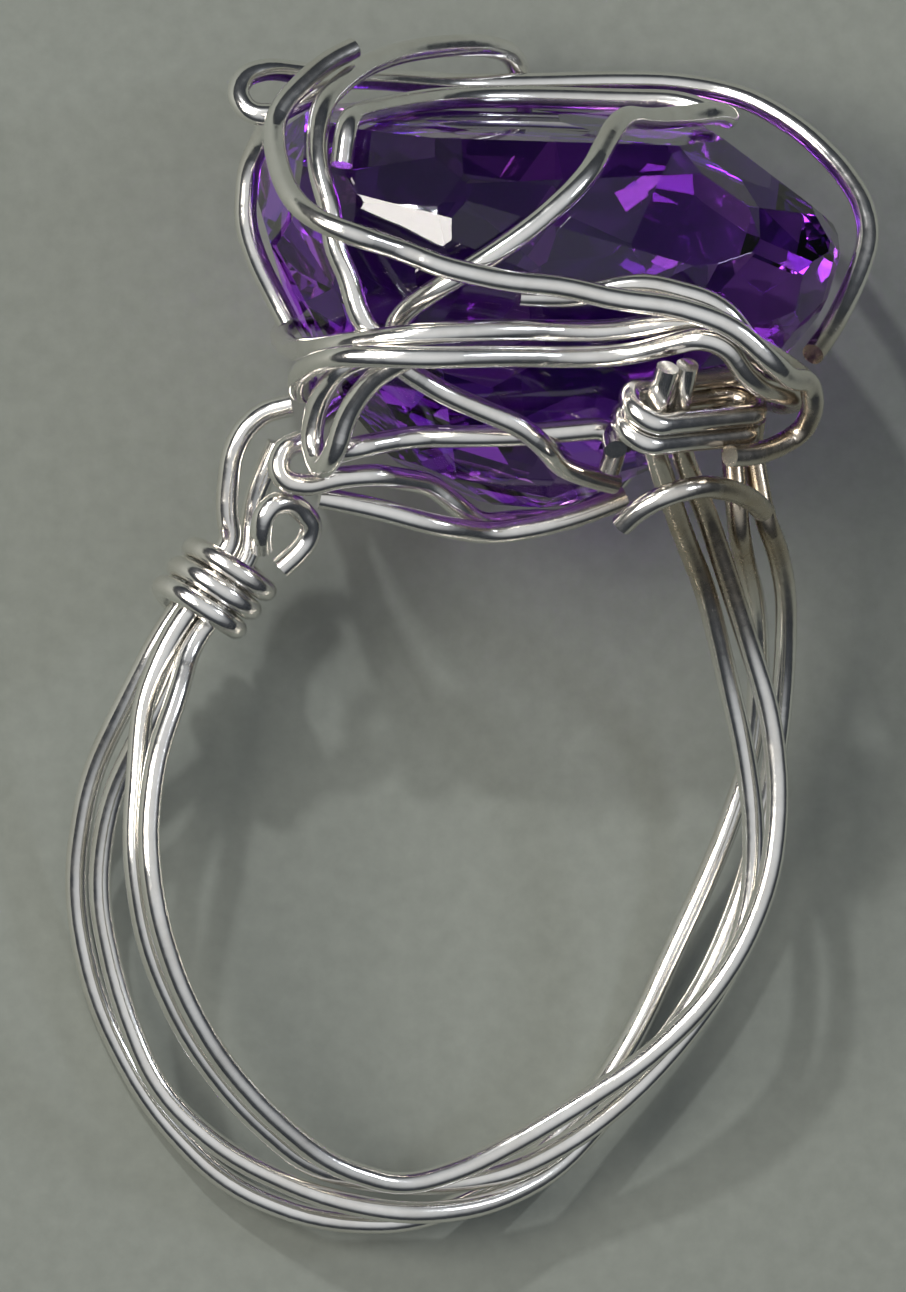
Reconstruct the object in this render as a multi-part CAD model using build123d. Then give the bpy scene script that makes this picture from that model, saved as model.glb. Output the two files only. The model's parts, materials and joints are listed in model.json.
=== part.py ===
"""Wire wrapped ring: four wire strands for the shank, and a cut stone held in an open cage of the same wire.

Millimetres. The ring is shaped in its own frame first: u runs across the finger hole to the right, v up to
the stone's table, w along the finger towards the viewer. At the end it is laid on its side as it rests.
"""
from build123d import *
import math
import os

import numpy as np
from scipy.spatial import ConvexHull, cKDTree

# Wire
wire_diameter = 0.64
wire_clearance = 0.05
stone_clearance = 0.04
bend_share = 0.45
straight_degrees = 0.2

# Shank
shank_radius = 9.6
shank_half_width = 2.7

# Stone
stone_length = 17.2
stone_width = 13.2
stone_height = 10.9
stone_offset = 2.9
stone_base_gap = 0.6
stone_roll = -4.0
stone_corner_power = 3.0
stone_sides = 12

# Left shoulder coil
left_coil_turns = 3
left_coil_lean = 50.0
left_coil_place = 128.7
left_coil_radius_share = 1.0918
left_coil_start = -90.0

# Right shoulder binding
right_binding_turns = 2.5
right_binding_length = 4.6
right_binding_lean = 25.0
right_binding_tip = 28.0
right_binding_corner = 60.0

# What the middle of the weight is worked out from, in grams for each cubic millimetre
stone_density = 0.00265
wire_density = 0.0089

wire_radius = wire_diameter / 2
wire_pitch = wire_diameter + wire_clearance
stone_seat = wire_radius + stone_clearance

# How the wires are laid over each other: the spacing of the places that are looked at, the rounds, and what
# share of a missing distance one round makes up. A wire is pushed away and outward from the stone's middle.
# Below them: how often a wire is seated on its facet and which facets count as steep, then how often the
# plane that the ring rests on is looked for, and how far it may face aside.
lay_step = wire_radius / 2
lay_tolerance = wire_radius / 128
lay_limit = wire_diameter / 4
lay_rounds = 90
lay_spread = 0.15
lay_push_share = 0.35
lay_own_push_share = 0.2
lay_outward_share = 0.6
lay_own_skip = 4.4
stone_middle_rise = 0.45
seat_rounds = 4
steep_facet = 0.5
resting_rounds = 6
resting_facing = 0.2

# The cut: rise is a share of the height, long and wide are shares of the half length and half width,
# shift is a share of the half length, and turn is in half steps of the sides.
STONE_ROWS = [
    # rise, long, wide, shift, turn
    (0.00, 0.26, 0.24, -0.04, 0),
    (0.16, 0.52, 0.50, -0.08, 1),
    (0.38, 0.78, 0.76, 0.00, 0),
    (0.58, 0.93, 0.92, 0.00, 1),
    (0.72, 1.00, 1.00, 0.00, 0),
    (0.78, 0.99, 0.985, 0.00, 0),
    (0.90, 0.89, 0.87, -0.10, 1),
    (1.00, 0.775, 0.72, -0.175, 0),
]

# Strands of the shank: turn is measured round the finger hole from the right, out is a share of the
# shank's radius and side a share of its half width, towards the viewer.
SHANK_ROWS = {
    "shank_strand_1": [
        # turn, out, side
        (150, 1.055, -0.36), (165, 1.045, -0.75), (184, 1.048, -0.98), (203, 1.065, -0.96),
        (222, 1.105, -0.80), (238, 1.150, -0.52), (252, 1.140, -0.26), (266, 1.105, -0.14),
        (279, 1.062, -0.42), (292, 1.020, -0.66), (306, 0.972, -0.80), (321, 0.915, -0.82),
        (335, 0.888, -0.82), (349, 0.918, -0.80), (361, 0.980, -0.74), (374, 1.085, -0.62),
        (387, 1.165, -0.30), (397, 1.230, 0.18), (405, 1.270, 0.70), (411, 1.320, 1.26),
    ],
    "shank_strand_2": [
        (152, 0.995, -0.08), (168, 0.992, -0.50), (184, 1.000, -0.64), (202, 1.012, -0.60),
        (219, 1.070, -0.44), (234, 1.075, -0.20), (250, 1.062, 0.12), (264, 1.055, 0.26),
        (278, 1.038, 0.08), (292, 1.028, -0.16), (306, 0.985, -0.36), (320, 0.975, -0.46),
        (334, 0.992, -0.52), (348, 1.015, -0.52), (361, 1.055, -0.44), (374, 1.130, -0.32),
        (386, 1.220, -0.05), (396, 1.310, 0.40), (403, 1.360, 0.80), (408.5, 1.390, 1.15),
    ],
    "shank_strand_3": [
        (149, 1.030, 0.20), (160, 1.002, 0.34), (174, 0.985, 0.48), (191, 0.958, 0.50),
        (209, 0.938, 0.44), (227, 0.945, 0.36), (245, 0.985, 0.18), (258, 0.985, 0.00),
        (271, 0.985, -0.02), (284, 0.985, 0.00), (297, 0.965, 0.06), (310, 0.945, 0.16),
        (323, 0.940, 0.26), (337, 0.958, 0.38), (351, 0.962, 0.44), (365, 0.962, 0.44),
        (378, 0.975, 0.44), (391.5, 1.012, 0.55), (407.5, 1.120, 0.96), (418.5, 1.210, 1.48),
    ],
    "shank_strand_4": [
        (146, 1.005, 0.44), (157, 0.995, 0.62), (170, 0.975, 0.80), (184, 0.945, 0.90),
        (199, 0.918, 0.88), (214, 0.905, 0.78), (229, 0.910, 0.66), (247, 0.955, 0.48),
        (262, 0.975, 0.36), (274, 0.925, 0.32), (287, 0.872, 0.32), (300, 0.852, 0.36),
        (314, 0.868, 0.46), (329, 0.902, 0.60), (343, 0.938, 0.74), (357, 0.978, 0.84),
        (371, 1.020, 0.82), (384, 1.070, 0.76), (395, 1.108, 0.82), (406.8, 1.185, 1.12),
        (416.7, 1.295, 1.46),
    ],
}

# Wires of the head: across, rise and near are shares of the stone's half length, height and half width,
# measured from the middle of its base. lift is how many wires it lies above the stone, None off the stone.
HEAD_ROWS = {
    "strand_1_loop": [
        # across, rise, near, lift
        (-0.870, 0.246, 0.06, None), (-0.960, 0.222, 0.02, None), (-1.020, 0.172, 0.0, None),
        (-1.048, 0.106, -0.02, None), (-1.040, 0.024, -0.04, None), (-1.010, -0.047, -0.05, None),
    ],
    "strand_2_loop": [
        (-0.897, 0.137, 0.0, None), (-0.929, 0.06, -0.02, None), (-0.95, -0.014, -0.06, None),
        (-0.95, -0.088, -0.10, None),
    ],
    "cage_outline_wire": [
        (-0.775, 1.093, 0.0, None), (-0.839, 1.082, 0.06, None), (-0.897, 1.058, 0.10, None),
        (-0.945, 1.035, 0.10, None), (-1.0, 1.0, 0.04, None), (-1.02, 0.954, -0.04, 0),
        (-1.031, 0.907, -0.10, 0), (-1.04, 0.846, -0.14, 0), (-1.02, 0.71, -0.14, 0),
        (-0.98, 0.61, -0.12, 0), (-0.93, 0.52, -0.10, 0), (-0.89, 0.455, -0.06, 0),
    ],
    "cage_top_rail": [
        (-1.02, 1.015, 0.16, None), (-1.10, 1.012, 0.13, None), (-1.135, 1.056, 0.06, None),
        (-1.098, 1.102, 0.0, None), (-1.01, 1.119, -0.05, None),
        (-0.905, 1.109, -0.10, None), (-0.769, 1.093, -0.14, None),
        (-0.54, 1.075, -0.42, None), (-0.22, 1.06, -0.66, 0.2), (0.06, 1.06, -0.69, 0.3),
        (0.33, 1.065, -0.68, None), (0.53, 1.07, -0.65, None), (0.68, 1.06, -0.60, None),
        (0.78, 1.045, -0.52, None), (0.87, 1.01, -0.42, None), (0.955, 0.964, -0.32, None),
        (1.04, 0.893, -0.18, None), (1.09, 0.815, -0.04, None), (1.095, 0.735, 0.06, None),
        (1.045, 0.655, 0.15, None), (0.965, 0.584, 0.25, None), (0.87, 0.525, 0.37, None),
        (0.78, 0.47, 0.50, None),
    ],
    "cage_diagonal_wire": [
        (-1.0, 0.955, 0.72, 0), (-0.86, 1.035, 0.54, 0), (-0.76, 1.04, 0.32, 0), (-0.66, 1.04, 0.12, 0),
        (-0.54, 1.04, -0.08, 0), (-0.38, 1.04, -0.30, 0), (-0.20, 1.04, -0.44, 0), (0.06, 1.04, -0.50, 0),
        (0.30, 1.04, -0.47, 0), (0.50, 1.04, -0.40, 0), (0.63, 1.04, -0.31, 0), (0.665, 1.04, -0.18, 0),
        (0.57, 1.04, -0.07, 0), (0.42, 1.04, 0.06, 0), (0.23, 1.04, 0.32, 0), (0.06, 0.98, 0.60, 0),
        (-0.12, 0.87, 0.82, 0), (-0.30, 0.79, 0.93, 0), (-0.46, 0.72, 1.0, 0), (-0.60, 0.645, 0.98, 0),
        (-0.71, 0.57, 0.93, 0), (-0.755, 0.51, 0.90, 0), (-0.72, 0.44, 0.84, 0),
    ],
    "cage_left_wire": [
        (0.10, 1.02, -0.90, 0), (0.02, 1.11, -0.72, None), (-0.13, 1.155, -0.58, None),
        (-0.31, 1.165, -0.44, None), (-0.51, 1.15, -0.26, None), (-0.72, 1.10, 0.02, None),
        (-0.90, 1.03, 0.34, 0), (-1.02, 0.93, 0.60, 0), (-1.03, 0.83, 0.76, 0), (-1.01, 0.73, 0.86, 0),
        (-0.97, 0.64, 0.92, 0), (-0.88, 0.54, 0.92, 0), (-0.73, 0.45, 0.86, 0), (-0.56, 0.37, 0.80, 0),
        (-0.41, 0.315, 0.74, 0.6), (-0.25, 0.27, 0.70, 1), (-0.155, 0.215, 0.66, 1),
        (-0.07, 0.155, 0.60, 0.6), (0.05, 0.12, 0.52, 0.4), (0.15, 0.10, 0.48, 0.3),
    ],
    "base_wrap_middle": [
        (0.48, 0.26, -0.42, 0), (0.24, 0.25, -0.55, 0), (-0.04, 0.245, -0.60, 0), (-0.34, 0.24, -0.58, 0),
        (-0.60, 0.215, -0.44, 0), (-0.76, 0.18, -0.12, None), (-0.82, 0.14, 0.20, None),
        (-0.83, 0.145, 0.44, None), (-0.76, 0.18, 0.56, None), (-0.62, 0.21, 0.62, 0),
        (-0.43, 0.222, 0.64, 0), (-0.22, 0.232, 0.66, 0), (-0.05, 0.248, 0.66, 0), (0.06, 0.262, 0.68, 0.2),
        (0.115, 0.21, 0.72, 0.5), (0.10, 0.145, 0.72, 0.8),
    ],
    "base_wrap_lower": [
        (-0.90, 0.17, 0.32, None), (-0.955, 0.155, 0.34, None), (-0.98, 0.11, 0.36, None),
        (-0.955, 0.07, 0.38, None), (-0.88, 0.062, 0.40, None), (-0.78, 0.088, 0.42, None),
        (-0.66, 0.10, 0.44, None), (-0.50, 0.07, 0.42, 0), (-0.37, 0.02, 0.34, 0), (-0.22, -0.03, 0.18, 0),
        (-0.02, -0.04, 0.04, 0), (0.18, -0.02, -0.10, 0), (0.36, 0.05, -0.22, 0), (0.50, 0.13, -0.30, 0),
    ],
    "base_wrap_lowest": [
        (-0.82, 0.03, 0.34, None), (-0.63, 0.01, 0.38, None), (-0.42, -0.012, 0.38, None),
        (-0.23, -0.036, 0.34, 0), (-0.055, -0.026, 0.34, 0), (0.11, 0.005, 0.36, 0), (0.25, 0.05, 0.36, 0),
    ],
    "left_hairpin": [
        (-0.74, 0.45, 0.80, 0), (-0.84, 0.405, 0.66, None), (-0.89, 0.30, 0.52, None),
        (-0.895, 0.19, 0.46, None), (-0.88, 0.11, 0.56, None), (-0.86, 0.17, 0.68, None),
        (-0.84, 0.29, 0.74, None), (-0.78, 0.39, 0.84, None), (-0.69, 0.45, 0.94, None),
    ],
    "base_wrap_upper": [
        (-0.68, 0.42, -0.60, 0), (-0.79, 0.41, -0.30, 0), (-0.85, 0.405, 0.10, 0.3),
        (-0.87, 0.43, 0.42, None), (-0.79, 0.475, 0.70, None), (-0.62, 0.50, 0.88, 1),
        (-0.38, 0.515, 0.93, 0.8), (-0.17, 0.513, 0.93, 0.2), (-0.02, 0.503, 0.93, 0),
        (0.20, 0.483, 0.90, 0), (0.40, 0.452, 0.82, 0), (0.56, 0.405, 0.66, 0),
        (0.66, 0.38, 0.40, 0), (0.71, 0.36, 0.04, 0), (0.68, 0.35, -0.34, 0), (0.52, 0.355, -0.62, 0),
        (0.26, 0.36, -0.76, 0), (-0.06, 0.38, -0.80, 0), (-0.38, 0.375, -0.76, 0),
        (-0.62, 0.34, -0.58, 0), (-0.76, 0.31, -0.26, 0), (-0.83, 0.29, 0.08, 0.3),
        (-0.90, 0.30, 0.36, None), (-0.91, 0.37, 0.58, None), (-0.82, 0.43, 0.76, None),
        (-0.62, 0.465, 0.88, 1.2), (-0.38, 0.487, 0.90, 1), (-0.15, 0.48, 0.90, 0.4),
        (0.02, 0.461, 0.90, 0.4), (0.18, 0.435, 0.87, 0.7), (0.34, 0.405, 0.80, 0.7), (0.50, 0.37, 0.68, 0.3),
        (0.61, 0.335, 0.44, 0), (0.65, 0.315, 0.08, 0), (0.62, 0.30, -0.26, 0),
    ],
    "cage_front_second": [
        (-0.34, 0.625, 1.0, 0), (-0.13, 0.607, 1.0, 0), (0.04, 0.588, 1.0, 0), (0.226, 0.55, 1.0, 0),
        (0.38, 0.502, 0.97, 0.2), (0.48, 0.468, 0.90, 0.2),
    ],
    "cage_front_wire": [
        (-0.735, 1.155, 0.08, None), (-0.812, 1.14, 0.14, None), (-0.892, 1.12, 0.20, None),
        (-0.966, 1.094, 0.26, None), (-1.032, 1.055, 0.32, None), (-1.074, 1.005, 0.38, None),
        (-1.094, 0.952, 0.50, None), (-1.102, 0.898, 0.64, None), (-1.097, 0.852, 0.78, None),
        (-1.068, 0.817, 0.90, None), (-1.007, 0.792, 1.0, None), (-0.92, 0.772, 1.05, None),
        (-0.773, 0.735, 1.05, 1), (-0.63, 0.70, 1.05, 1), (-0.42, 0.668, 1.05, 1),
        (-0.21, 0.658, 1.05, 0.6), (-0.04, 0.638, 1.05, 0.6), (0.14, 0.608, 1.05, 0.7),
        (0.29, 0.562, 1.04, 0.8), (0.42, 0.515, 1.02, 1.2), (0.51, 0.472, 1.02, 1.3),
        (0.59, 0.425, 0.96, None), (0.65, 0.372, 0.90, None), (0.675, 0.318, 0.86, None),
        (0.66, 0.272, 0.87, None), (0.59, 0.247, 0.92, None), (0.49, 0.24, 0.99, None),
        (0.39, 0.243, 1.05, None),
    ],
    "left_rosette": [
        (-0.905, -0.172, 0.20, None), (-0.855, -0.130, 0.22, None), (-0.818, -0.082, 0.24, None),
        (-0.800, -0.025, 0.28, None), (-0.830, 0.026, 0.32, None), (-0.903, 0.044, 0.35, None),
        (-0.970, 0.026, 0.36, None), (-1.007, -0.018, 0.35, None),
        (-1.012, -0.069, 0.32, None), (-0.990, -0.117, 0.26, None),
    ],
    "right_hook": [
        (0.079, 0.026, 0.95, None), (0.107, 0.060, 0.99, None), (0.147, 0.092, 1.03, None),
        (0.197, 0.117, 1.06, None), (0.255, 0.132, 1.06, None), (0.337, 0.141, 1.02, None),
        (0.451, 0.126, 0.92, None), (0.557, 0.094, 0.80, None), (0.638, 0.051, 0.66, None),
    ],
}

# Middle of the right binding: across, rise and near, in the same shares.
BINDING_MIDDLE = (0.2716, 0.322, 1.0)

# Where each strand passes the binding: along, aside and up from its middle, in wire pitches. The two nearer
# strands go up through its turns and end just above them, and the two others end behind it.
BINDING_PLACES = {
    "shank_strand_1": [(5.6, -2.0, -3.6), (5.2, -2.0, -2.2)],
    "shank_strand_2": [(6.7, -2.0, -3.6), (6.3, -2.0, -2.2)],
    "shank_strand_3": [(-0.5, 0.0, -2.5), (-2.0, 0.0, -0.4), (-2.3, 0.0, 2.7)],
    "shank_strand_4": [(0.9, 0.0, -2.5), (-0.5, 0.0, -0.4), (-1.2, 0.0, 2.7)],
}

# Which wire is laid first: each one is lifted over what is already there.
LAY_ORDER = [
    "shank_strand_4", "shank_strand_3", "shank_strand_2", "shank_strand_1", "left_coil", "right_binding",
    "cage_outline_wire", "cage_top_rail", "cage_diagonal_wire", "base_wrap_lower",
    "base_wrap_lowest", "base_wrap_middle", "cage_left_wire", "left_hairpin",
    "base_wrap_upper", "right_hook", "left_rosette", "cage_front_second",
    "cage_front_wire",
]


def stone_frame():
    """Middle of the stone's base, and the directions of its across, rise and near, rolled a little."""
    roll = math.radians(stone_roll)
    across = np.array([math.cos(roll), math.sin(roll), 0.0])
    rise = np.array([-math.sin(roll), math.cos(roll), 0.0])
    near = np.array([0.0, 0.0, 1.0])
    base = np.array([stone_offset, shank_radius + stone_base_gap, 0.0])
    return base, across, rise, near


def head_point(across_share, rise_share, near_share):
    """A point given as shares of the stone's half length, height and half width."""
    base, across, rise, near = stone_frame()
    return (
        base
        + across * across_share * stone_length / 2
        + rise * rise_share * stone_height
        + near * near_share * stone_width / 2
    )


def stone_corners():
    """All corners of the cut stone, row by row, each row a rounded rectangle of straight sides."""
    corners = []
    for rise, long, wide, shift, turn in STONE_ROWS:
        for side in range(stone_sides):
            angle = 2 * math.pi * (side + turn / 2) / stone_sides
            cosine = math.cos(angle)
            sine = math.sin(angle)
            round_power = 2 / stone_corner_power
            across = long * math.copysign(abs(cosine) ** round_power, cosine) + shift
            near = wide * math.copysign(abs(sine) ** round_power, sine)
            corners.append(head_point(across, rise, near))
    return np.array(corners)


def stone_planes(corners):
    """Outward normals and distances of the stone's facets."""
    hull = ConvexHull(corners)
    return hull.equations[:, :3], -hull.equations[:, 3]


def shank_point(turn, out, side):
    """A point of a strand, from its turn round the finger hole, how far out it is and how far to the side."""
    angle = math.radians(turn)
    radius = out * shank_radius
    return np.array([radius * math.cos(angle), radius * math.sin(angle), side * shank_half_width])


def seat(point, lift, normals, distances):
    """Moves a point out from the nearest facet until a wire there lies on the stone.

    It moves along the facet's normal, or level with the stone's base beside a facet that faces down.
    """
    if lift is None:
        return point
    rise = stone_frame()[2]
    wanted = stone_seat + lift * wire_pitch
    for _ in range(seat_rounds):
        heights = normals @ point - distances
        nearest = int(np.argmax(heights))
        normal = normals[nearest]
        level = normal - (normal @ rise) * rise
        steepness = np.linalg.norm(level)
        if normal @ rise < 0 and steepness > steep_facet:
            point = point + (wanted - heights[nearest]) * level / steepness ** 2
        else:
            point = point + (wanted - heights[nearest]) * normal
    return point


def bend(points):
    """Straight runs and the arcs between them: (start, end) or (start, middle, end) of each piece."""
    pieces = []
    start = points[0]
    for before, corner, after in zip(points, points[1:], points[2:]):
        into = corner - before
        out = after - corner
        into_length = np.linalg.norm(into)
        out_length = np.linalg.norm(out)
        into = into / into_length
        out = out / out_length
        half_turn = math.acos(max(-1.0, min(1.0, float(into @ out)))) / 2
        if half_turn < math.radians(straight_degrees):
            continue
        tangent = bend_share * min(into_length, out_length)
        radius = tangent / math.tan(half_turn)
        inward = (out - into) / np.linalg.norm(out - into)
        arc_start = corner - tangent * into
        arc_end = corner + tangent * out
        arc_middle = corner + inward * (radius / math.cos(half_turn) - radius)
        pieces.append((start, arc_start))
        pieces.append((arc_start, arc_middle, arc_end))
        start = arc_end
    pieces.append((start, points[-1]))
    return pieces


def samples(points):
    """Evenly spaced points along the bent wire."""
    places = []
    for piece in bend(points):
        if len(piece) == 2:
            start, end = piece
            count = max(2, int(np.linalg.norm(end - start) / lay_step) + 1)
            places.extend(start + (end - start) * step / count for step in range(count))
        else:
            start, middle, end = piece
            count = max(2, int(np.linalg.norm(end - start) / lay_step) + 1)
            control = 2 * middle - (start + end) / 2
            for step in range(count):
                share = step / count
                places.append(
                    start * (1 - share) ** 2 + 2 * control * share * (1 - share) + end * share ** 2
                )
    places.append(points[-1])
    return np.array(places)


def lay(points, laid, normals, distances, fixed):
    """Lifts a wire's points until it clears the stone, the wires already laid and itself."""
    points = np.array(points, dtype=float)
    tree = cKDTree(np.vstack(laid)) if laid else None
    own_skip = int(lay_own_skip * wire_diameter / lay_step)
    centre = head_point(0.0, stone_middle_rise, 0.0)
    for _ in range(lay_rounds):
        places = samples(points)
        push = np.zeros_like(places)
        heights = places @ normals.T - distances
        nearest = np.argmax(heights, axis=1)
        depth = stone_seat - heights[np.arange(len(places)), nearest]
        for index in np.flatnonzero(depth > lay_tolerance):
            push[index] += depth[index] * normals[nearest[index]]
        if tree is not None:
            for index, place in enumerate(places):
                for other in tree.query_ball_point(place, wire_pitch):
                    gap = place - tree.data[other]
                    distance = np.linalg.norm(gap)
                    if distance < wire_pitch - lay_tolerance:
                        outward = place - centre
                        outward = outward / np.linalg.norm(outward)
                        away = gap / max(distance, lay_tolerance)
                        if away @ outward < 0:
                            away = away - 2 * (away @ outward) * outward
                        direction = away + lay_outward_share * outward
                        direction = direction / np.linalg.norm(direction)
                        push[index] += lay_push_share * (wire_pitch - distance) * direction
        own = cKDTree(places)
        for first, second in own.query_pairs(wire_pitch - lay_tolerance):
            if abs(first - second) > own_skip:
                gap = places[second] - places[first]
                distance = np.linalg.norm(gap)
                away = lay_own_push_share * (wire_pitch - distance) * gap / max(distance, lay_tolerance)
                push[second] += away
                push[first] -= away
        amount = np.linalg.norm(push, axis=1)
        if amount.max() < lay_tolerance:
            break
        push = push * np.minimum(1.0, lay_limit / np.maximum(amount, lay_tolerance))[:, None]
        gaps = np.linalg.norm(points[:, None, :] - places[None, :, :], axis=2)
        moved = np.zeros_like(points)
        for index in np.flatnonzero(amount > lay_tolerance / 2):
            near_two = np.argsort(gaps[:, index])[:2]
            weights = 1 / (gaps[near_two, index] + lay_step)
            weights = weights / weights.sum()
            for control, weight in zip(near_two, weights):
                step = push[index] * weight
                if np.linalg.norm(step) > np.linalg.norm(moved[control]):
                    moved[control] = step
        moved[fixed] = 0.0
        moved[1:-1] += lay_spread * (moved[2:] + moved[:-2] - 2 * moved[1:-1])
        moved[fixed] = 0.0
        points = points + moved
    return points


def wire_points(normals, distances):
    """The control points of every laid wire, before they are laid over each other, and which stay put."""
    routes = {}
    for name, rows in SHANK_ROWS.items():
        routes[name] = [shank_point(*row) for row in rows]
    for name, rows in HEAD_ROWS.items():
        routes[name] = [seat(head_point(*row[:3]), row[3], normals, distances) for row in rows]
    fixed = {}
    for number, through_coil in enumerate(coil_bundle(), start=1):
        name = f"shank_strand_{number}"
        start = routes.pop(f"strand_{number}_loop", [])
        through_binding = binding_passage(name)
        middle = len(start) + len(through_coil) + len(routes[name])
        routes[name] = start + through_coil + routes[name] + through_binding
        fixed[name] = list(range(len(start), len(start) + len(through_coil)))
        fixed[name] += list(range(middle, middle + len(through_binding)))
    for name, points in (("left_coil", left_coil_points()), ("right_binding", binding_points())):
        routes[name] = points
        fixed[name] = list(range(len(points)))
    return routes, fixed


def coil_frame():
    """Middle of the left coil and its directions: along it, outward from the hole, and to the viewer."""
    turn = math.radians(left_coil_place)
    middle = left_coil_radius_share * shank_radius * np.array([math.cos(turn), math.sin(turn), 0.0])
    lean = math.radians(left_coil_lean)
    along = np.array([math.cos(lean), math.sin(lean), 0.0])
    outward = np.array([-math.sin(lean), math.cos(lean), 0.0])
    return middle, along, outward, np.array([0.0, 0.0, 1.0])


def coil_bundle():
    """Where each strand passes through the left coil: two points each, two by two in the bundle.

    The two nearer strands end inside the coil, and the two behind them go on to loops of their own.
    """
    middle, along, outward, near = coil_frame()
    half = wire_pitch / 2
    coil_end = left_coil_turns * wire_pitch / 2
    bundle = []
    for out_side, near_side in ((1, -1), (-1, -1), (1, 1), (-1, 1)):
        offset = half * (out_side * outward + near_side * near)
        start = coil_end + wire_radius if near_side < 0 else coil_end - wire_pitch
        bundle.append([middle + offset + along * start, middle + offset - along * (coil_end + wire_pitch)])
    return bundle


def helix(middle, along, first, second, radius, turns, start_angle, steps=8):
    """Points round a coil, one pitch apart for each turn; it turns from first towards second."""
    points = []
    radius = radius / math.cos(math.pi / steps)
    for step in range(round(turns * steps) + 1):
        angle = start_angle + 2 * math.pi * step / steps
        points.append(
            middle
            + along * wire_pitch * (step / steps - turns / 2)
            + first * radius * math.cos(angle)
            + second * radius * math.sin(angle)
        )
    return points


def left_coil_points():
    """The left coil's turns, close round its two by two bundle of strands."""
    middle, along, outward, near = coil_frame()
    radius = wire_pitch * (math.sqrt(0.5) + 1)
    return helix(middle, along, outward, near, radius, left_coil_turns, math.radians(left_coil_start))


def binding_frame():
    """Middle of the right binding and its directions: the long way, the short way and up.

    It leans round the stone and is tipped towards the viewer, as the stone's side is.
    """
    lean = math.radians(right_binding_lean)
    tip = math.radians(right_binding_tip)
    long_way = np.array([math.cos(lean), 0.0, -math.sin(lean)])
    level = np.array([math.sin(lean), 0.0, math.cos(lean)])
    upright = np.array([0.0, 1.0, 0.0])
    short_way = math.cos(tip) * level - math.sin(tip) * upright
    return head_point(*BINDING_MIDDLE), long_way, short_way, math.cos(tip) * upright + math.sin(tip) * level


def binding_passage(name):
    """The points of a strand inside the right binding, from its foot to its top."""
    middle, long_way, short_way, up = binding_frame()
    return [
        middle + wire_pitch * (along * long_way + aside * short_way + height * up)
        for along, aside, height in BINDING_PLACES[name]
    ]


def binding_points():
    """Turns round the strands at the right shoulder, each of two straight legs and two half circles."""
    middle, long_way, short_way, up = binding_frame()
    half_leg = right_binding_length / 2 - wire_pitch
    corner = wire_pitch / math.sin(math.radians(right_binding_corner))
    corners = [(-1, 0), (-1, -1), (1, -1), (1, 0), (1, 1), (-1, 1)]
    points = []
    for step in range(round(right_binding_turns * len(corners)) + 1):
        end, side = corners[step % len(corners)]
        angle = math.radians(side * right_binding_corner)
        along = end * (half_leg + corner * math.cos(angle))
        aside = corner * math.sin(angle)
        height = wire_pitch * (step / len(corners) - right_binding_turns / 2)
        points.append(middle + long_way * along + short_way * aside + up * height)
    return points


def wire_solid(points):
    """A round wire bent through the points: straight runs joined by tangent arcs."""
    edges = []
    for piece in bend(points):
        ends = [Vector(*(float(value) for value in place)) for place in piece]
        if len(ends) == 2:
            edges.append(Line(*ends))
        else:
            edges.append(ThreePointArc(*ends))
    path = Wire([edge.edge() if not isinstance(edge, Edge) else edge for edge in edges])
    start = Vector(*(float(value) for value in points[0]))
    towards = Vector(*(float(value) for value in points[1] - points[0]))
    profile = Plane(origin=start, z_dir=towards) * Circle(wire_radius)
    return sweep(profile, path=path)


def stone_solid(corners):
    """The cut stone, a solid of flat facets."""
    return ConvexPolyhedron([tuple(float(value) for value in corner) for corner in corners])


def build_routes():
    """Every wire's final control points, by node name, and the stone's corners."""
    corners = stone_corners()
    normals, distances = stone_planes(corners)
    routes, fixed = wire_points(normals, distances)
    final = {}
    laid = []
    for name in LAY_ORDER:
        final[name] = lay(routes[name], laid, normals, distances, fixed.get(name, []))
        laid.append(samples(final[name]))
    return final, corners, normals, distances


def middle_of_weight(final, corners):
    """Centre of mass of the stone and all the wire."""
    hull = ConvexHull(corners)
    inside = corners.mean(axis=0)
    weight = 0.0
    moment = np.zeros(3)
    for simplex in hull.simplices:
        first, second, third = corners[simplex]
        volume = abs(np.linalg.det([first - inside, second - inside, third - inside])) / 6
        weight += volume * stone_density
        moment += volume * stone_density * (first + second + third + inside) / 4
    for points in final.values():
        places = samples(points)
        lengths = np.linalg.norm(np.diff(places, axis=0), axis=1)
        masses = lengths * math.pi * wire_radius ** 2 * wire_density
        weight += masses.sum()
        moment += ((places[1:] + places[:-1]) / 2 * masses[:, None]).sum(axis=0)
    return moment / weight


def resting_turn(final, corners):
    """The turn that lays the ring on its side as it comes to rest, the side away from the viewer down.

    The ring stands on the plane under its centre of mass that touches three places, wire or stone.
    """
    centre = middle_of_weight(final, corners)
    places = np.vstack([samples(points) for points in final.values()])
    down = np.array([0.0, 0.0, -1.0])
    for _ in range(resting_rounds):
        hull = ConvexHull(np.vstack([places + down * wire_radius, corners]))
        normals = hull.equations[:, :3]
        heights = -(normals @ centre + hull.equations[:, 3])
        facing = normals @ down
        reach = np.where(facing > resting_facing, heights / np.maximum(facing, resting_facing), np.inf)
        down = normals[int(np.argmin(reach))]
    up = -down
    ahead = np.array([0.0, 1.0, 0.0])
    ahead = ahead - (ahead @ up) * up
    ahead = ahead / np.linalg.norm(ahead)
    return np.array([np.cross(ahead, up), ahead, up])


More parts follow.
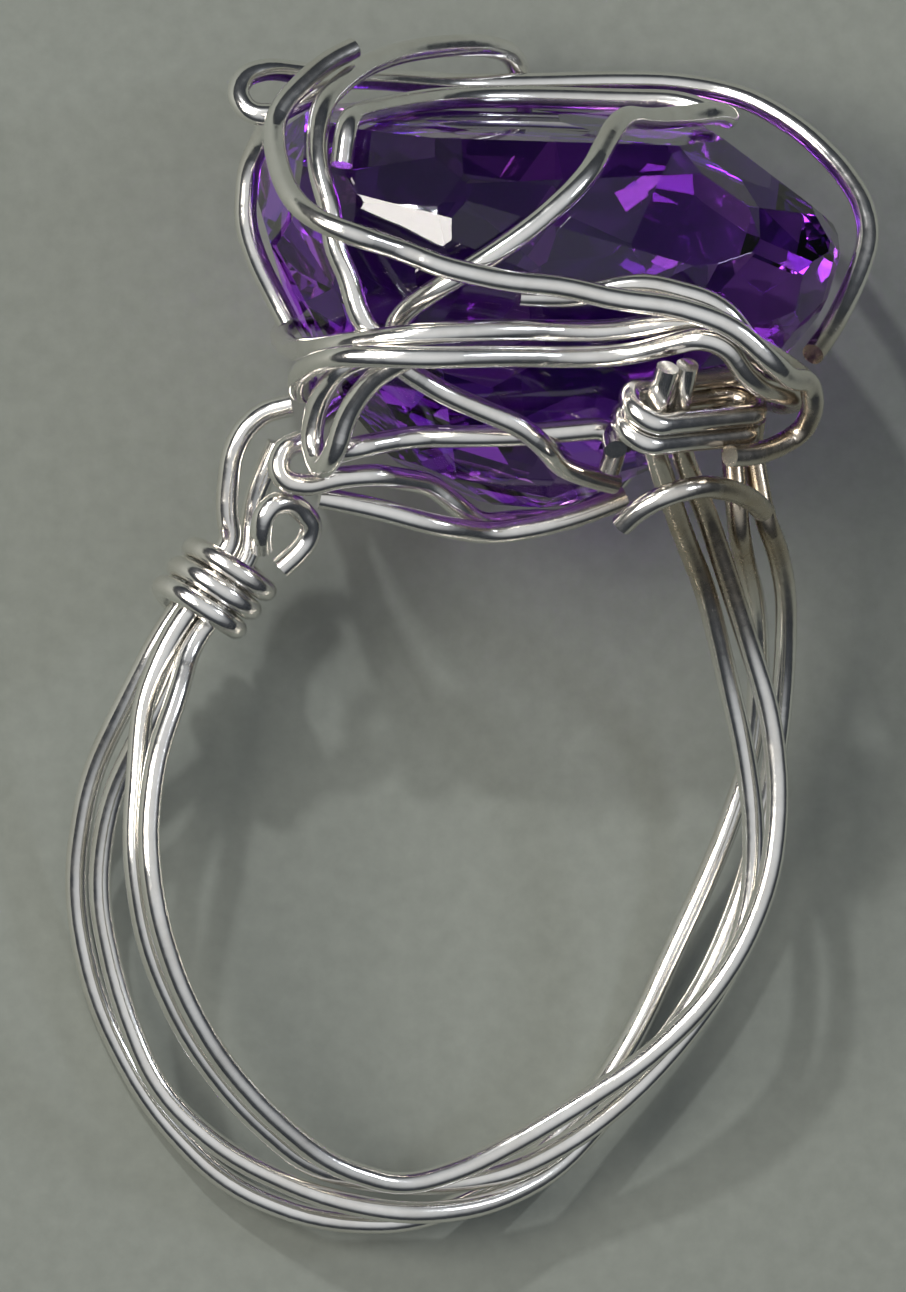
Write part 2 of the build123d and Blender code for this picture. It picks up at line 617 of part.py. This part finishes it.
def main():
    os.makedirs("parts", exist_ok=True)
    final, corners = build_routes()[:2]
    turn = resting_turn(final, corners)
    solids = {"stone": stone_solid(corners @ turn.T)}
    for name, points in final.items():
        solids[name] = wire_solid(points @ turn.T)
    boxes = [solid.bounding_box() for solid in solids.values()]
    low = [min(tuple(box.min)[axis] for box in boxes) for axis in range(3)]
    high = [max(tuple(box.max)[axis] for box in boxes) for axis in range(3)]
    shift = Location((-(low[0] + high[0]) / 2, -(low[1] + high[1]) / 2, -low[2]))
    for name, solid in solids.items():
        export_step(solid.moved(shift), os.path.join("parts", f"{name}.step"))


if __name__ == "__main__":
    main()
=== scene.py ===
# %% [markdown]
# # A wire wrapped ring, dressed in Blender
#
# The ring is wound by hand from round silver-coloured craft wire. Four loose strands make the band, and the
# same wire holds a big cut amethyst in an open cage. The measured model comes in as a fixed frame, and each
# step below gives one part of it the surface that the real thing has. Everything on a ring is a fraction of a
# millimetre, so sizes are written in millimetres and turned to Blender's metres by one factor.

# %% Load the measured ring
import json
import math

import bmesh
import bpy
from mathutils import Matrix, Vector


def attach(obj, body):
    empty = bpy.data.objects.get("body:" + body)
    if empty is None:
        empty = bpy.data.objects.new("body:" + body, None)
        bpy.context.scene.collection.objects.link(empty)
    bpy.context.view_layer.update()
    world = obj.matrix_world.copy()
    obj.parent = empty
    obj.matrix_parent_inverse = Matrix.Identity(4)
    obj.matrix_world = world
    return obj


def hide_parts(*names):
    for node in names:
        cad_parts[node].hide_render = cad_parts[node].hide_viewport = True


MM = 0.001

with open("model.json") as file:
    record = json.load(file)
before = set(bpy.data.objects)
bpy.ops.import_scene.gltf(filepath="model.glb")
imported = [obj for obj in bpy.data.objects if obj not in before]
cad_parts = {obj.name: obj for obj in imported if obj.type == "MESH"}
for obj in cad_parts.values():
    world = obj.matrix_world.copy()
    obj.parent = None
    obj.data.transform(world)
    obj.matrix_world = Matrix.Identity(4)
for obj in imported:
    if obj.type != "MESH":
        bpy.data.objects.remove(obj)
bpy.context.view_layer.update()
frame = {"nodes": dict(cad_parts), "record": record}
nodes = frame["nodes"]

# %% [markdown]
# The photograph looks nearly along the finger hole. The ring's own directions come from the mount that the
# record keeps for the finger: its axis points to the viewer, and the stone lies ahead of the hole. From these
# three directions the camera, the lights and the painted shade round the right shoulder can all be placed.

# %% The ring's own directions
finger = next(mount for mount in frame["record"]["mounts"] if mount["name"] == "finger")
HOLE = Vector(finger["pos_m"])
TOWARDS_VIEWER = Vector(finger["axis"]).normalized()
TO_STONE = (Vector((0, 1, 0)) - TOWARDS_VIEWER * TOWARDS_VIEWER.y).normalized()
ACROSS = TO_STONE.cross(TOWARDS_VIEWER)


def ring_point(across, to_stone, towards_viewer):
    """A place given in millimetres from the middle of the finger hole, in the ring's own directions."""
    return HOLE + MM * (across * ACROSS + to_stone * TO_STONE + towards_viewer * TOWARDS_VIEWER)


print("hole in mm:", [round(v / MM, 2) for v in HOLE], "to the stone:", [round(v, 3) for v in TO_STONE])

# %% [markdown]
# A material in Blender is a graph of small nodes. One helper adds a node, sets it and links it, so each
# material below reads as a list of what feeds what. Colours are picked as sRGB hex values, the way a colour
# picker shows them, and Blender wants linear light, so one function turns the one into the other.

# %% Helpers for materials
def linear(hex_colour):
    """An sRGB hex colour as linear red, green, blue and full alpha."""
    parts = [int(hex_colour[i:i + 2], 16) / 255 for i in (1, 3, 5)]
    return [v / 12.92 if v <= 0.04045 else ((v + 0.055) / 1.055) ** 2.4 for v in parts] + [1.0]


def add_node(tree, kind, settings=None, **links):
    """Adds a node, sets its properties, and fills its inputs with values or with other nodes' sockets.

    An input is given by its name with _ for a space, or as in0, in1 and so on by its place in the list.
    """
    node = tree.nodes.new(kind)
    for name, value in (settings or {}).items():
        setattr(node, name, value)
    for name, value in links.items():
        key = name.replace("_", " ")
        socket = node.inputs[int(key[2:])] if key.startswith("in") and key[2:].isdigit() else node.inputs[key]
        if isinstance(value, bpy.types.NodeSocket):
            tree.links.new(value, socket)
        else:
            socket.default_value = value
    return node


def new_material(name):
    """An empty material: its node tree and the output that a shader goes to."""
    material = bpy.data.materials.new(name)
    material.use_nodes = True
    material.node_tree.nodes.clear()
    return material, material.node_tree, material.node_tree.nodes.new("ShaderNodeOutputMaterial")


def ramp_colours(ramp, stops):
    """Puts (position, hex colour) stops on a colour ramp."""
    band = ramp.color_ramp
    while len(band.elements) < len(stops):
        band.elements.new(0.5)
    for element, (position, hex_colour) in zip(band.elements, stops):
        element.position = position
        element.color = linear(hex_colour)


print("mid grey as linear light:", [round(v, 3) for v in linear("#808080")])

# %% [markdown]
# Skin and air leave a warm tarnish on silver where it is never wiped, and it shows here in faint patches.
# The close turns of the right shoulder get the same warm grey-brown as painted shade. It could be painted on
# by hand. Here the distance from the shoulder and a soft noise say how much of each there is, so both keep
# their place on the ring by themselves.

# %% Where the wire has painted shade and tarnish
# the painted shade on the right shoulder is centred here
RIGHT_SHOULDER = ring_point(8.5, 11.5, 3.5)
SHOULDER_SHADE_REACH = 7.0 * MM
FULL_SHOULDER_SHADE_REACH = 0.35 * SHOULDER_SHADE_REACH
SHOULDER_PAINTED_SHADE = 0.75
PATCH_TARNISH = 0.22
PATCH_SIZE = 1.6 * MM
PATCH_START, PATCH_FULL = 0.42, 0.72


def painted_shade_and_tarnish_share(tree, place):
    """How much painted shade round the right shoulder and tarnish in patches the wire has at a place, from 0
    to 1.
    """
    from_shoulder = add_node(
        tree, "ShaderNodeVectorMath", {"operation": "DISTANCE"}, in0=place, in1=RIGHT_SHOULDER
    ).outputs["Value"]
    # painted shade: the wire is darkest near the right shoulder and clears with distance from it
    painted_shade_at_shoulder = add_node(
        tree, "ShaderNodeMapRange", {"interpolation_type": "SMOOTHSTEP"}, Value=from_shoulder,
        From_Min=FULL_SHOULDER_SHADE_REACH, From_Max=SHOULDER_SHADE_REACH, To_Min=SHOULDER_PAINTED_SHADE, To_Max=0.0,
    ).outputs["Result"]
    patches = add_node(
        tree, "ShaderNodeTexNoise", Vector=place, Scale=1 / PATCH_SIZE, Detail=4.0, Roughness=0.6
    ).outputs["Fac"]
    in_patches = add_node(
        tree, "ShaderNodeMapRange", Value=patches, From_Min=PATCH_START, From_Max=PATCH_FULL,
        To_Min=0.0, To_Max=PATCH_TARNISH,
    ).outputs["Result"]
    return add_node(
        tree, "ShaderNodeMath", {"operation": "ADD", "use_clamp": True}, in0=painted_shade_at_shoulder, in1=in_patches
    ).outputs["Value"]


print("tarnish round, in mm:", [round(v / MM, 2) for v in RIGHT_SHOULDER])

# %% [markdown]
# Silver-plated copper craft wire is drawn through a die, so it starts out bright, and winding it with pliers
# leaves faint rubs and nicks. The metal keeps the default IOR. Its reflections carry the look, so roughness
# changes a little along the wire, more where it is tarnished and where the shoulder's shade is painted, and a
# very fine bump breaks the highlights up. Real rubs are finer than a tenth of a millimetre, and are drawn
# several times coarser so that they show.

# %% Bright drawn silver wire
BRIGHT_SILVER = "#f6f4f0"
# warm grey-brown: painted shade round the right shoulder, and real tarnish in the patches
SHADED_AND_TARNISHED_SILVER = "#a3937a"
RUB_SIZE = 0.35 * MM
RUB_DEPTH = 0.02 * MM
RUB_STRENGTH = 0.18
RUB_START, RUB_FULL = 0.3, 0.8
DRAWN_ROUGHNESS = 0.10
RUBBED_ROUGHNESS = 0.24
TARNISH_ROUGHNESS = 0.14


def silver_wire():
    """Bright drawn wire with fine rubs, faint tarnish patches and painted shade round the right shoulder."""
    material, tree, output = new_material("bright_drawn_silver_wire")
    place = add_node(tree, "ShaderNodeTexCoord").outputs["Object"]
    shade_and_tarnish = painted_shade_and_tarnish_share(tree, place)
    # painted shade round the right shoulder and tarnish in the patches both turn the silver warm grey-brown
    colour = add_node(tree, "ShaderNodeValToRGB", Fac=shade_and_tarnish)
    ramp_colours(colour, [(0.0, BRIGHT_SILVER), (1.0, SHADED_AND_TARNISHED_SILVER)])
    rubs = add_node(
        tree, "ShaderNodeTexNoise", Vector=place, Scale=1 / RUB_SIZE, Detail=6.0, Roughness=0.65
    ).outputs["Fac"]
    roughness = add_node(
        tree, "ShaderNodeMapRange", Value=rubs, From_Min=RUB_START, From_Max=RUB_FULL,
        To_Min=DRAWN_ROUGHNESS, To_Max=RUBBED_ROUGHNESS,
    ).outputs["Result"]
    dull = add_node(
        tree, "ShaderNodeMath", {"operation": "MULTIPLY_ADD"},
        in0=shade_and_tarnish, in1=TARNISH_ROUGHNESS, in2=roughness,
    ).outputs["Value"]
    bump = add_node(
        tree, "ShaderNodeBump", Strength=RUB_STRENGTH, Distance=RUB_DEPTH, Height=rubs
    ).outputs["Normal"]
    shader = add_node(
        tree, "ShaderNodeBsdfPrincipled", Base_Color=colour.outputs["Color"], Metallic=1.0,
        Roughness=dull, Normal=bump,
    )
    tree.links.new(shader.outputs["BSDF"], output.inputs["Surface"])
    return material


silver = silver_wire()
print("material:", silver.name)

# %% [markdown]
# The wires could be drawn again as curves with a round bevel, but their measured meshes already have the
# right shape and place. So they stay as they are and only take the metal.

# %% Put the metal on the wires
WIRE_NODES = sorted(name for name in nodes if name != "stone")
for name in WIRE_NODES:
    wire = nodes[name]
    wire.data.materials.clear()
    wire.data.materials.append(silver)
print("wires:", len(WIRE_NODES))

# %% [markdown]
# The inner facets send the light back in bright and dark flashes, and these are painted on: a Voronoi pattern
# has flat-sided cells, and each cell gets a painted tint from dusky violet to white. Cutting by hand also
# leaves each facet with a few flats that lean by some degrees, so each cell also gets a small lean of its
# own. Both could be modelled one by one; here tint and lean come from the random colour that the pattern
# gives the cell.

# %% Painted inner flashes and leaning flats
FLASH_CELL_SIZE = 3.0 * MM
# painted reflections: each cell's tint stands in for a flash of light off the inner facets
PAINTED_FLASH_TINTS = [(0.0, "#6e4a9c"), (0.45, "#b48ae8"), (0.7, "#f2dcff"), (1.0, "#ffffff")]
FLAT_LEAN = 0.24


def painted_flash_tint(tree, flash_cells):
    """The painted flash of each cell, from dusky violet to white, standing in for light sent back by the
    inner facets.
    """
    share = add_node(tree, "ShaderNodeSeparateXYZ", Vector=flash_cells).outputs["X"]
    tint = add_node(tree, "ShaderNodeValToRGB", Fac=share)
    ramp_colours(tint, PAINTED_FLASH_TINTS)
    return tint.outputs["Color"]


def leaning_normal(tree, flash_cells):
    """The facet's own direction, leant a little another way in each cell."""
    lean = add_node(
        tree, "ShaderNodeVectorMath", {"operation": "SUBTRACT"}, in0=flash_cells, in1=(0.5, 0.5, 0.5)
    ).outputs["Vector"]
    outward = add_node(tree, "ShaderNodeNewGeometry").outputs["Normal"]
    leaning = add_node(
        tree, "ShaderNodeVectorMath", {"operation": "MULTIPLY_ADD"},
        in0=lean, in1=(FLAT_LEAN,) * 3, in2=outward,
    ).outputs["Vector"]
    return add_node(tree, "ShaderNodeVectorMath", {"operation": "NORMALIZE"}, in0=leaning).outputs["Vector"]


print("most lean in degrees, about:", round(math.degrees(math.atan(math.sqrt(0.75) * FLAT_LEAN)), 1))

# %% [markdown]
# Amethyst is purple quartz, and its cut facets are polished flat. It is clear, so its colour comes from the
# depth of stone that the light crosses: pale at thin edges, nearly black where the light has to go far. A
# coloured surface alone would look like glass paint, so the body of the stone absorbs light too. Each facet
# bends light by quartz's IOR, and handling leaves a few fine scuffs that are a little less smooth.

# %% Polished amethyst
QUARTZ_IOR = 1.544
BODY_COLOUR = "#d868f2"
BODY_DENSITY = 112.0
SCUFF_SIZE = 0.5 * MM
SCUFF_START, SCUFF_FULL = 0.5, 0.85
POLISHED_ROUGHNESS = 0.01
SCUFFED_ROUGHNESS = 0.10


def amethyst():
    """Clear violet quartz with polished facets and a little handling wear."""
    material, tree, output = new_material("polished_amethyst")
    place = add_node(tree, "ShaderNodeTexCoord").outputs["Object"]
    flash_cells = add_node(tree, "ShaderNodeTexVoronoi", Vector=place, Scale=1 / FLASH_CELL_SIZE).outputs["Color"]
    scuffs = add_node(
        tree, "ShaderNodeTexNoise", Vector=place, Scale=1 / SCUFF_SIZE, Detail=8.0, Roughness=0.7
    ).outputs["Fac"]
    roughness = add_node(
        tree, "ShaderNodeMapRange", Value=scuffs, From_Min=SCUFF_START, From_Max=SCUFF_FULL,
        To_Min=POLISHED_ROUGHNESS, To_Max=SCUFFED_ROUGHNESS,
    ).outputs["Result"]
    # the base colour is the painted flash of each cell
    shader = add_node(
        tree, "ShaderNodeBsdfPrincipled", Base_Color=painted_flash_tint(tree, flash_cells), Roughness=roughness,
        IOR=QUARTZ_IOR, Transmission_Weight=1.0, Normal=leaning_normal(tree, flash_cells),
    )
    depth = add_node(tree, "ShaderNodeVolumeAbsorption", Color=linear(BODY_COLOUR), Density=BODY_DENSITY)
    tree.links.new(shader.outputs["BSDF"], output.inputs["Surface"])
    tree.links.new(depth.outputs["Volume"], output.inputs["Volume"])
    return material


violet = amethyst()
print("material:", violet.name)

# %% [markdown]
# What a bmesh has shaped becomes an object in the same way each time, and so do a camera and a lamp: some
# data, an object that shows it, and a link to the scene.

# %% Helpers for objects
def add_object(name, data):
    """A new object that shows this mesh, camera or lamp in the scene."""
    thing = bpy.data.objects.new(name, data)
    bpy.context.scene.collection.objects.link(thing)
    return thing


def add_mesh_object(name, form, material):
    """Turns a finished bmesh into an object of one material, with its place in its mesh."""
    mesh = bpy.data.meshes.new(name)
    form.to_mesh(mesh)
    form.free()
    mesh.materials.append(material)
    return add_object(name, mesh)


# %% [markdown]
# A cutter finishes a stone by touching its corners to the wheel again, which leaves small kite and triangle
# facets between the big ones. They make the stone sparkle, because each sends the light inside another way.
# The knife could make them one by one. Instead a loop turns round the stone in a few rows, as the cutter's
# dial does, and each touch is a cut by a plane, a little under the stone's furthest corner in that direction.
# The hole that a cut leaves is filled by one flat face.

# %% Shallow cuts all round the stone
CUT_DEPTH = 0.42 * MM
CUT_ROWS = [
    # lean from level towards the table in degrees, cuts round the stone, turn of the first one in degrees
    (-62, 7, 12), (-38, 11, 0), (-16, 12, 14), (9, 12, 3), (30, 11, 20), (52, 9, 5),
]


def shallow_cut(form, facing):
    """Cuts a convex form by a plane square to a direction, a little under its furthest corner."""
    reach = max(corner.co.dot(facing) for corner in form.verts)
    parts = list(form.verts) + list(form.edges) + list(form.faces)
    cut = bmesh.ops.bisect_plane(
        form, geom=parts, plane_co=facing * (reach - CUT_DEPTH), plane_no=facing, clear_outer=True
    )["geom_cut"]
    bmesh.ops.contextual_create(form, geom=[part for part in cut if isinstance(part, bmesh.types.BMEdge)])


def cut_all_round(form):
    """Makes the rows of shallow cuts, each row level round the stone."""
    for lean, count, first in CUT_ROWS:
        for step in range(count):
            turn = math.radians(first + 360 * step / count)
            level = ACROSS * math.cos(turn) + TOWARDS_VIEWER * math.sin(turn)
            shallow_cut(form, level * math.cos(math.radians(lean)) + TO_STONE * math.sin(math.radians(lean)))


print("cuts:", sum(count for lean, count, first in CUT_ROWS))

# %% [markdown]
# The finished stone is a merged copy of the measured one, with such cuts all round it and a hair-thin flat
# along each worn edge. Cuts and wear only take stone away, so the wires stay clear of it.

# %% The cut stone with its small facets and worn edges
MERGE_DISTANCE = 0.002 * MM
FLAT_ANGLE = math.radians(1.0)
SHARP_ANGLE = math.radians(4.0)
EDGE_WEAR = 0.05 * MM


def cut_stone():
    """The measured stone with its doubles merged, small facets cut round it and its edges worn."""
    form = bmesh.new()
    form.from_mesh(nodes["stone"].data)
    bmesh.ops.remove_doubles(form, verts=form.verts, dist=MERGE_DISTANCE)
    bmesh.ops.dissolve_limit(
        form, angle_limit=FLAT_ANGLE, verts=form.verts, edges=form.edges, use_dissolve_boundaries=False
    )
    cut_all_round(form)
    sharp = [edge for edge in form.edges if edge.calc_face_angle(0.0) > SHARP_ANGLE]
    bmesh.ops.bevel(
        form, geom=sharp, offset=EDGE_WEAR, offset_type="OFFSET", segments=1, profile=0.5,
        affect="EDGES", material=-1, clamp_overlap=True,
    )
    bmesh.ops.recalc_face_normals(form, faces=form.faces)
    for facet in form.faces:
        facet.smooth = False
    return add_mesh_object("cut_stone", form, violet)


stone = cut_stone()
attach(stone, "root")
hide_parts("stone")
print("stone faces:", len(stone.data.polygons))

# %% [markdown]
# The ring lies on a plain matt board, so that the eye can tell that it rests on something, and nothing there
# draws the eye away. A board has no shape of its own, so one flat face is enough, and the faint grain is in
# its material. Real grain is too fine to show, so it is drawn coarser. The grey leans a little to green.

# %% The plain floor
FLOOR_HALF = 400 * MM
GRAIN_SIZE = 0.6 * MM
GRAIN_DEPTH = 0.05 * MM
GRAIN_STRENGTH = 0.10
BOARD_GREYS = [(0.3, "#5f635d"), (0.7, "#666a64")]
BOARD_ROUGHNESS = 0.75


def matt_board():
    """Matt grey board with a faint grain."""
    material, tree, output = new_material("matt_grey_board")
    place = add_node(tree, "ShaderNodeTexCoord").outputs["Object"]
    grain = add_node(
        tree, "ShaderNodeTexNoise", Vector=place, Scale=1 / GRAIN_SIZE, Detail=5.0, Roughness=0.6
    ).outputs["Fac"]
    colour = add_node(tree, "ShaderNodeValToRGB", Fac=grain)
    ramp_colours(colour, BOARD_GREYS)
    bump = add_node(
        tree, "ShaderNodeBump", Strength=GRAIN_STRENGTH, Distance=GRAIN_DEPTH, Height=grain
    ).outputs["Normal"]
    shader = add_node(
        tree, "ShaderNodeBsdfPrincipled", Base_Color=colour.outputs["Color"], Roughness=BOARD_ROUGHNESS,
        Normal=bump,
    )
    tree.links.new(shader.outputs["BSDF"], output.inputs["Surface"])
    return material


board = bmesh.new()
bmesh.ops.create_grid(board, x_segments=1, y_segments=1, size=FLOOR_HALF)
floor = add_mesh_object("floor", board, matt_board())
print("floor faces:", len(floor.data.polygons))

# %% [markdown]
# The photograph was taken from a little to the left of the finger hole's axis and a little above it, and the
# camera stands there too. It is far away with a long lens, because the photograph shows almost no
# perspective. It could be placed by eye, but worked out from how many pixels one millimetre takes in the
# photograph, the lens frames the ring at the same size and place.

# %% The camera
PHOTO_WIDTH = 906
PHOTO_HEIGHT = 1292
PIXELS_PER_MM = 35.0
HOLE_PIXEL = (435.0, 860.0)
CAMERA_YAW = math.radians(17.0)
CAMERA_PITCH = math.radians(9.0)
CAMERA_DISTANCE = 800 * MM
SENSOR_WIDTH = 36.0
NEAREST_SEEN = 10 * MM
FURTHEST_SEEN = 10000 * MM

camera_right = (ACROSS * math.cos(CAMERA_YAW) + TOWARDS_VIEWER * math.sin(CAMERA_YAW)).normalized()
level_back = -ACROSS * math.sin(CAMERA_YAW) + TOWARDS_VIEWER * math.cos(CAMERA_YAW)
camera_back = (level_back * math.cos(CAMERA_PITCH) + TO_STONE * math.sin(CAMERA_PITCH)).normalized()
camera_up = camera_back.cross(camera_right)
right_shift = (PHOTO_WIDTH / 2 - HOLE_PIXEL[0]) / PIXELS_PER_MM * MM
up_shift = (HOLE_PIXEL[1] - PHOTO_HEIGHT / 2) / PIXELS_PER_MM * MM
aim = HOLE + camera_right * right_shift + camera_up * up_shift

lens = bpy.data.cameras.new("photo_camera")
lens.sensor_fit = "HORIZONTAL"
lens.sensor_width = SENSOR_WIDTH
lens.lens = SENSOR_WIDTH * CAMERA_DISTANCE / (PHOTO_WIDTH / PIXELS_PER_MM * MM)
lens.clip_start = NEAREST_SEEN
lens.clip_end = FURTHEST_SEEN
camera = add_object("photo_camera", lens)
turn = Matrix((camera_right, camera_up, camera_back)).transposed().to_4x4()
camera.matrix_world = Matrix.Translation(aim + camera_back * CAMERA_DISTANCE) @ turn
bpy.context.scene.camera = camera
print("lens:", round(lens.lens, 1), "height over the floor:", round(camera.location.z, 3))

# %% [markdown]
# Polished wire shows nothing but what is around it. A large soft light stands at the upper left, where the
# photograph's highlights are, a small one gives the bright beads, and a weak one opens the far side.

# %% The lights
LIGHTS = [
    # name, across, to stone, towards viewer (mm from the ring), size (mm), power (W), colour
    ("window", -330, 125, 295, 230, 3.0, "#fffaf2"),
    ("spot", -160, 330, 240, 16, 0.9, "#ffffff"),
    ("far side", 260, 120, 250, 60, 0.3, "#eef4ff"),
]
LIT_PLACE = ring_point(0, 6, 0)
for name, across, to_stone, towards_viewer, size, power, colour in LIGHTS:
    lamp = bpy.data.lights.new(name, "AREA")
    lamp.shape = "SQUARE"
    lamp.size = size * MM
    lamp.energy = power
    lamp.color = linear(colour)[:3]
    light = add_object(name, lamp)
    light.location = ring_point(across, to_stone, towards_viewer)
    light.rotation_euler = (light.location - LIT_PLACE).to_track_quat("Z", "Y").to_euler()
print("lights:", len(LIGHTS))

# %% [markdown]
# The room is pale overhead and dim at the horizon. The middle of each wire mirrors the ceiling and its two
# edges mirror the walls, so each wire is bright along its middle with dark edges, and the dim walls keep the
# stone's front facets clear. The picture is shown without a film curve, so that the whites and the violet
# stay full.

# %% The room
ROOM_STRENGTH = 0.74
ROOM_SHADES = [(0.0, "#30343a"), (0.45, "#4a4e54"), (0.72, "#c4c8cc"), (1.0, "#f2f4f6")]

world = bpy.data.worlds.new("room_with_pale_ceiling")
world.use_nodes = True
room = world.node_tree
direction = add_node(room, "ShaderNodeTexCoord").outputs["Generated"]
height = add_node(room, "ShaderNodeSeparateXYZ", Vector=direction).outputs["Z"]
shade = add_node(room, "ShaderNodeValToRGB", Fac=height)
ramp_colours(shade, ROOM_SHADES)
background = room.nodes["Background"]
room.links.new(shade.outputs["Color"], background.inputs["Color"])
background.inputs["Strength"].default_value = ROOM_STRENGTH
bpy.context.scene.world = world
bpy.context.scene.view_settings.view_transform = "Standard"
print("world:", world.name)

# %% [markdown]
# The dressed ring has to keep the measured ring's size.

# %% The end of the scene
print("scene done")
